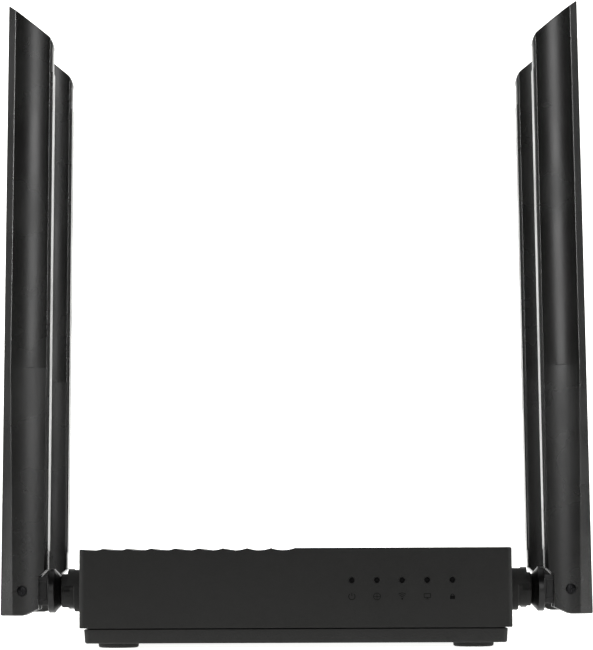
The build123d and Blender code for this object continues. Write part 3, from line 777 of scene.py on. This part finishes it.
def hinge_pin(name):
    """Screw with a domed head and a cross recess."""
    seat = -BLADE_HALF[0] + PIN_SEAT
    head = PIN_HEAD_R
    profile = [(seat - 0.60, head * 0.3), (seat - 0.58, head * 0.72), (seat - 0.50, head * 0.92),
               (seat - 0.38, head), (seat - 0.05, head), (seat, head - 0.05), (seat, 0.9),
               (PIN_END - 0.2, 0.9), (PIN_END, 0.7)]
    piece = write_mesh(name, *shifted(turned(profile, 48), PIN_X, 0, AXIS_Z, ALONG_Y), "screw")
    arm, slit = 0.78, 0.17
    cuts = [slab(PIN_X - a, PIN_X + a, seat - 2, seat - 0.2, AXIS_Z - b, AXIS_Z + b)
            for a, b in ((arm, slit), (slit, arm))]
    return combine(piece, cuts)


def socket(name):
    """Fixed bushing: disc against the case, hooded block, slotted collar and the tail inside."""
    disc_r, collar_r, tail_r = 5.3, 4.25, 4.6
    base_x, hood_x = 56.2, 57.8
    tail = 46.5
    edge = 0.25
    profile = [(tail, tail_r - 0.4), (tail + 0.4, tail_r), (HALF, tail_r), (HALF + 0.005, disc_r)]
    profile += [(base_x - edge + rise, disc_r - inward) for inward, rise in quarter(edge)]
    profile += [(base_x + 0.005, collar_r)]
    profile += [(COLLAR_END - edge + rise, collar_r - inward) for inward, rise in quarter(edge)]
    piece = write_mesh(name, *shifted(turned(profile, 72), 0, 0, AXIS_Z), "cover")
    hood = []
    for k in range(25):
        angle = math.radians(14) + math.radians(152) * k / 24
        hood.append(((disc_r - 0.01) * math.cos(angle), AXIS_Z + (disc_r - 0.01) * math.sin(angle)))
    block = shifted(prism(hood, HALF + 0.3, hood_x), 0, 0, 0, Matrix.Rotation(-math.pi / 2, 4, "Z"))
    combine(piece, [block], "UNION")
    cuts = []
    for sy in (-1, 1):
        y = sy * collar_r
        cuts.append(slab(hood_x - 0.6, COLLAR_END + 1, y - 0.8, y + 0.8, AXIS_Z - 0.2, AXIS_Z + 1.2))
    cuts.append(shifted(turned([(tail - 1, 2.75), (COLLAR_END + 1, 2.75)], 48), 0, 0, AXIS_Z))
    return combine(piece, cuts)


# ---- marks on the front ----


def ring_mark(x, z, outer, inner, start=0.0, sweep=360.0, steps=40):
    """Flat arc in the front plane, as points (x, z) and quads."""
    points = []
    for k in range(steps + 1):
        angle = math.radians(start + sweep * k / steps)
        for radius in (outer, inner):
            points.append((x + radius * math.cos(angle), z + radius * math.sin(angle)))
    return points, [(2 * k, 2 * k + 1, 2 * k + 3, 2 * k + 2) for k in range(steps)]


def bar_mark(x0, z0, x1, z1):
    """Flat bar in the front plane, as points (x, z) and one quad."""
    return [(x0, z0), (x1, z0), (x1, z1), (x0, z1)], [(0, 1, 2, 3)]


def marks(x, z):
    """Five generic symbols: power, globe, radio waves, network box and padlock."""
    line = 0.11
    power_x, globe_x, waves_x, box_x, lock_x = x
    power = [
        ring_mark(power_x, z, 0.85, 0.85 - line * 1.3, 125, 290),
        bar_mark(power_x - 0.07, z + 0.1, power_x + 0.07, z + 0.95),
    ]
    globe = [
        ring_mark(globe_x, z, 0.9, 0.9 - line),
        bar_mark(globe_x - 0.8, z - 0.05, globe_x + 0.8, z + 0.05),
        bar_mark(globe_x - 0.05, z - 0.8, globe_x + 0.05, z + 0.8),
    ]
    waves = [ring_mark(waves_x, z - 0.6, r, r - line * 1.3, 50, 80) for r in (0.6, 1.05, 1.5)]
    waves.append(ring_mark(waves_x, z - 0.6, 0.2, 0.01))
    network = [
        bar_mark(box_x - 0.85, z - 0.35, box_x + 0.85, z - 0.22),
        bar_mark(box_x - 0.85, z + 0.55, box_x + 0.85, z + 0.68),
        bar_mark(box_x - 0.85, z - 0.22, box_x - 0.72, z + 0.55),
        bar_mark(box_x + 0.72, z - 0.22, box_x + 0.85, z + 0.55),
        bar_mark(box_x - 0.45, z - 0.72, box_x + 0.45, z - 0.6),
        bar_mark(box_x - 0.06, z - 0.6, box_x + 0.06, z - 0.35),
    ]
    lock = [
        bar_mark(lock_x - 0.6, z - 0.7, lock_x + 0.6, z + 0.15),
        ring_mark(lock_x, z + 0.15, 0.45, 0.45 - line * 1.4, 0, 180),
    ]
    return [power, globe, waves, network, lock]


def front_marks():
    """Thin ink symbols under the lights, a hair proud of the cover's front face."""
    names = ("power", "internet", "radio", "network", "lock")
    thickness = 0.062
    for name, shapes in zip(names, marks(light_xs(), LIGHT_Z - 4.0)):
        points, faces = [], []
        for flat, quads in shapes:
            for y in (-HALF, thickness - HALF):
                base = len(points)
                points += [(x, y, z) for x, z in flat]
                faces += [tuple(base + i for i in quad) for quad in quads]
            half = len(flat)
            start = len(points) - 2 * half
            for quad in quads:
                for a, b in zip(quad, quad[1:] + quad[:1]):
                    shared = sum(1 for other in quads if a in other and b in other)
                    if shared == 1:
                        faces.append((start + a, start + b, start + half + b, start + half + a))
        piece = write_mesh(f"mark_{name}", points, faces, "print")
        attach(piece, "housing")


# ---- operators ----


class ROUTER_OT_cover(bpy.types.Operator):
    """Build the grooved upper cover"""

    bl_idname = "router.cover"
    bl_label = "Upper Cover"

    def execute(self, context):
        piece = top_cover(context.scene.router_sizes)
        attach(piece, "housing")
        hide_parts("top_cover")
        return {"FINISHED"}


class ROUTER_OT_base(bpy.types.Operator):
    """Build the lower cover and its rubber feet"""

    bl_idname = "router.base"
    bl_label = "Lower Cover"

    def execute(self, context):
        piece = base_cover(context.scene.router_sizes)
        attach(piece, "housing")
        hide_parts("base_cover")
        for sx in (-1, 1):
            for sy in (-1, 1):
                name = f"foot_{'left' if sx < 0 else 'right'}_{'front' if sy < 0 else 'rear'}"
                top = high("rubber_feet").z
                profile = [(0, 4.2), (0.06, 4.6), (0.25, 4.92), (0.5, 5.0), (top - 0.1, 5.08), (top, 4.98)]
                shape = shifted(turned(profile, 56), sx * FOOT_AT, sy * FOOT_AT, 0, ALONG_Z)
                foot = soften(write_mesh(name, *shape, "rubber"))
                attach(foot, "housing")
                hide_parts("rubber_feet")
        return {"FINISHED"}


class ROUTER_OT_sockets(bpy.types.Operator):
    """Build the four fixed antenna sockets"""

    bl_idname = "router.sockets"
    bl_label = "Antenna Sockets"

    def execute(self, context):
        place_all(socket, "socket", ["antenna_sockets"], "housing", 0.1)
        return {"FINISHED"}


class ROUTER_OT_knuckles(bpy.types.Operator):
    """Build the four swivel knuckles"""

    bl_idname = "router.knuckles"
    bl_label = "Swivel Knuckles"

    def execute(self, context):
        place_all(knuckle, "swivel", ["{}_knuckle"], "{}_knuckle", 0.12)
        return {"FINISHED"}


class ROUTER_OT_blades(bpy.types.Operator):
    """Build the four antenna blades and their hinge screws"""

    bl_idname = "router.blades"
    bl_label = "Antenna Blades"

    def execute(self, context):
        sizes = context.scene.router_sizes
        place_all(lambda name: sleeve(name, sizes), "blade", ["{}_sleeve"], "{}_blade")
        place_all(hinge_pin, "screw", ["{}_hinge_pin"], "{}_blade")
        return {"FINISHED"}


class ROUTER_OT_marks(bpy.types.Operator):
    """Print the five symbols under the lights"""

    bl_idname = "router.marks"
    bl_label = "Front Symbols"

    def execute(self, context):
        front_marks()
        return {"FINISHED"}


NODE_FINISH = {
    "top_cover": "cover", "base_cover": "base", "rear_panel": "base", "rubber_feet": "rubber",
    # the light guide gets the near-black painted-shade finish
    "case_screws": "screw", "antenna_sockets": "cover", "light_guide": "painted_shade_guide", "main_board": "board",
    "board_screws": "steel", "main_chip": "epoxy", "thermal_pad": "pad", "heat_sink": "aluminium",
    "switch_chip": "epoxy", "memory_chips": "epoxy", "radio_chips": "epoxy", "radio_shields": "tin",
    "magnetics": "epoxy", "capacitors": "aluminium", "inductors": "ferrite", "status_leds": "lens",
    "wan_jack": "port", "lan_jacks": "port", "jack_contacts": "gold", "power_jack": "port",
    "power_jack_pin": "steel", "power_switch": "switch", "wps_switch": "switch",
    "coax_connectors": "gold", "antenna_leads": "jacket", "power_button": "button", "wps_button": "button",
}
PIECE_FINISH = {
    "knuckle": "hinge", "shaft_clip": "steel", "sleeve": "blade", "sleeve_cover": "blade",
    "hinge_pin": "screw", "element": "board",
}


class ROUTER_OT_finishes(bpy.types.Operator):
    """Make the materials and give every framed part its finish"""

    bl_idname = "router.finishes"
    bl_label = "Finishes"

    def execute(self, context):
        make_materials(context.scene.router_colours)
        for node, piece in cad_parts.items():
            finish = NODE_FINISH.get(node)
            if finish is None:
                finish = PIECE_FINISH[node.split("_", 2)[2]]
            piece.data.materials.clear()
            piece.data.materials.append(MATERIALS[finish])
        return {"FINISHED"}


# ---- floor, lights and camera ----


def soft_light(name, at, target, width, height, power):
    """Rectangular studio light that faces a target. Sizes in metres, power in watts."""
    lamp = bpy.data.lights.new(name, "AREA")
    lamp.shape = "RECTANGLE"
    lamp.size = width
    lamp.size_y = height
    lamp.energy = power
    light = bpy.data.objects.new(name, lamp)
    light.location = at
    light.rotation_euler = (Vector(target) - Vector(at)).to_track_quat("-Z", "Y").to_euler()
    bpy.context.scene.collection.objects.link(light)


def sweep_backdrop():
    """Pale floor that curves up into a backdrop far behind the object."""
    bend_y = 2.4
    radius = 0.9
    outline = [(-3.0, 0.0), (bend_y, 0.0)]
    for k in range(1, 17):
        angle = math.pi / 2 * k / 16
        outline.append((bend_y + radius * math.sin(angle), radius - radius * math.cos(angle)))
    outline.append((bend_y + radius, 4.0))
    points = [(x, y, z) for x in (-4.0, 4.0) for y, z in outline]
    count = len(outline)
    faces = [(i, i + 1, count + i + 1, count + i) for i in range(count - 1)]
    mesh = bpy.data.meshes.new("backdrop")
    mesh.from_pydata(points, [], faces)
    mesh.shade_smooth()
    backdrop = bpy.data.objects.new("backdrop", mesh)
    bpy.context.scene.collection.objects.link(backdrop)
    material, tree = new_material("paper_backdrop_matte_white")
    place = add(tree, "ShaderNodeTexCoord")
    fibre = add(tree, "ShaderNodeTexNoise", [("Vector", place, "Object")], Scale=1 / (3 * MM), Detail=2.0)
    # the floor glows from just in front of the object backwards, in a wedge that widens with distance
    tone = add(tree, "ShaderNodeMix", [("Factor", fibre, "Fac")], data_type="RGBA")
    tone.inputs[6].default_value = linear("#F4F4F2")
    tone.inputs[7].default_value = linear("#FAFAF9")
    axes = add(tree, "ShaderNodeSeparateXYZ", [("Vector", place, "Object")])
    glow = add(tree, "ShaderNodeMapRange", [("Value", axes, "Y")], interpolation_type="SMOOTHSTEP")
    glow.inputs["From Min"].default_value = -0.13
    glow.inputs["From Max"].default_value = -0.05
    aside = add(tree, "ShaderNodeMath", [(0, axes, "X")], operation="ABSOLUTE")
    widen = add(tree, "ShaderNodeMath", [(0, axes, "Y"), (2, aside, 0)], operation="MULTIPLY_ADD")
    widen.inputs[1].default_value = -0.2
    wedge = add(tree, "ShaderNodeMapRange", [("Value", widen, 0)], interpolation_type="SMOOTHSTEP")
    wedge.inputs["From Min"].default_value = 0.14
    wedge.inputs["From Max"].default_value = 0.30
    wedge.inputs["To Min"].default_value = 1.0
    wedge.inputs["To Max"].default_value = 0.0
    lit = add(tree, "ShaderNodeMath", [(0, glow, 0), (1, wedge, 0)], operation="MULTIPLY")
    surface = add(
        tree, "ShaderNodeBsdfPrincipled",
        [("Base Color", tone, 2), ("Emission Color", tone, 2), ("Emission Strength", lit, 0)], Roughness=0.9,
    )
    add(tree, "ShaderNodeOutputMaterial", [("Surface", surface, "BSDF")])
    mesh.materials.append(material)


def surroundings(tree):
    """White studio walls behind and beside the object, dim on the camera's side."""
    place = add(tree, "ShaderNodeTexCoord")
    axes = add(tree, "ShaderNodeSeparateXYZ", [("Vector", place, "Generated")])
    level = add(tree, "ShaderNodeMapRange", [("Value", axes, "Y")], interpolation_type="SMOOTHSTEP")
    level.inputs["From Min"].default_value = -0.45
    level.inputs["From Max"].default_value = 0.5
    level.inputs["To Min"].default_value = 0.015
    level.inputs["To Max"].default_value = 0.40
    background = tree.nodes["Background"]
    background.inputs["Color"].default_value = linear("#FFFFFF")
    tree.links.new(level.outputs[0], background.inputs["Strength"])


class ROUTER_OT_stage(bpy.types.Operator):
    """Set up the floor, the lights and the camera"""

    bl_idname = "router.stage"
    bl_label = "Stage"

    def execute(self, context):
        scene = context.scene
        sweep_backdrop()
        world = bpy.data.worlds.new("studio")
        world.use_nodes = True
        surroundings(world.node_tree)
        scene.world = world
        scene.view_settings.view_transform = "Standard"
        middle = (0, 0, 0.08)
        soft_light("front_box", (0.04, -1.3, 0.38), middle, 0.30, 0.56, 2.8)
        soft_light("strip_left", (-1.05, -0.3, 0.46), middle, 0.08, 0.68, 9)
        soft_light("strip_right", (1.05, -0.3, 0.46), middle, 0.08, 0.68, 7)
        soft_light("top_box", (0.0, 0.3, 1.3), (0, 0.1, 0), 1.4, 1.0, 3)
        soft_light("back_wash", (0.0, 1.2, 1.6), (0, 3.0, 0.3), 2.5, 1.0, 40)
        eye = bpy.data.cameras.new("camera")
        eye.sensor_fit = "HORIZONTAL"
        eye.sensor_width = 36.0
        eye.lens = LENS
        eye.shift_x = EYE_SHIFT
        eye.clip_start = 0.05
        camera = bpy.data.objects.new("camera", eye)
        spin = Matrix.Rotation(EYE_ROLL, 4, "Z")
        tilt = Matrix.Rotation(math.pi / 2 + EYE_PITCH, 4, "X")
        pan = Matrix.Rotation(-EYE_YAW, 4, "Z")
        camera.matrix_world = Matrix.Translation(EYE) @ pan @ tilt @ spin
        scene.collection.objects.link(camera)
        scene.camera = camera
        return {"FINISHED"}


class ROUTER_PT_panel(bpy.types.Panel):
    """Sizes, colours and build steps of the router"""

    bl_idname = "ROUTER_PT_panel"
    bl_label = "Router"
    bl_space_type = "VIEW_3D"
    bl_region_type = "UI"
    bl_category = "Router"

    def draw(self, context):
        for group in (context.scene.router_sizes, context.scene.router_colours):
            box = self.layout.box()
            for key in group.__annotations__:
                box.prop(group, key)
        for operator in OPERATORS:
            self.layout.operator(operator.bl_idname)


OPERATORS = (
    ROUTER_OT_finishes, ROUTER_OT_stage, ROUTER_OT_cover, ROUTER_OT_base, ROUTER_OT_sockets,
    ROUTER_OT_knuckles, ROUTER_OT_blades, ROUTER_OT_marks,
)
CLASSES = (RouterSizes, RouterColours, *OPERATORS, ROUTER_PT_panel)


def register():
    for one in CLASSES:
        bpy.utils.register_class(one)
    bpy.types.Scene.router_sizes = PointerProperty(type=RouterSizes)
    bpy.types.Scene.router_colours = PointerProperty(type=RouterColours)


def unregister():
    del bpy.types.Scene.router_colours
    del bpy.types.Scene.router_sizes
    for one in reversed(CLASSES):
        bpy.utils.unregister_class(one)


def main():
    register()
    for operator in OPERATORS:
        group, name = operator.bl_idname.split(".")
        getattr(getattr(bpy.ops, group), name)()


if __name__ == "__main__":
    main()
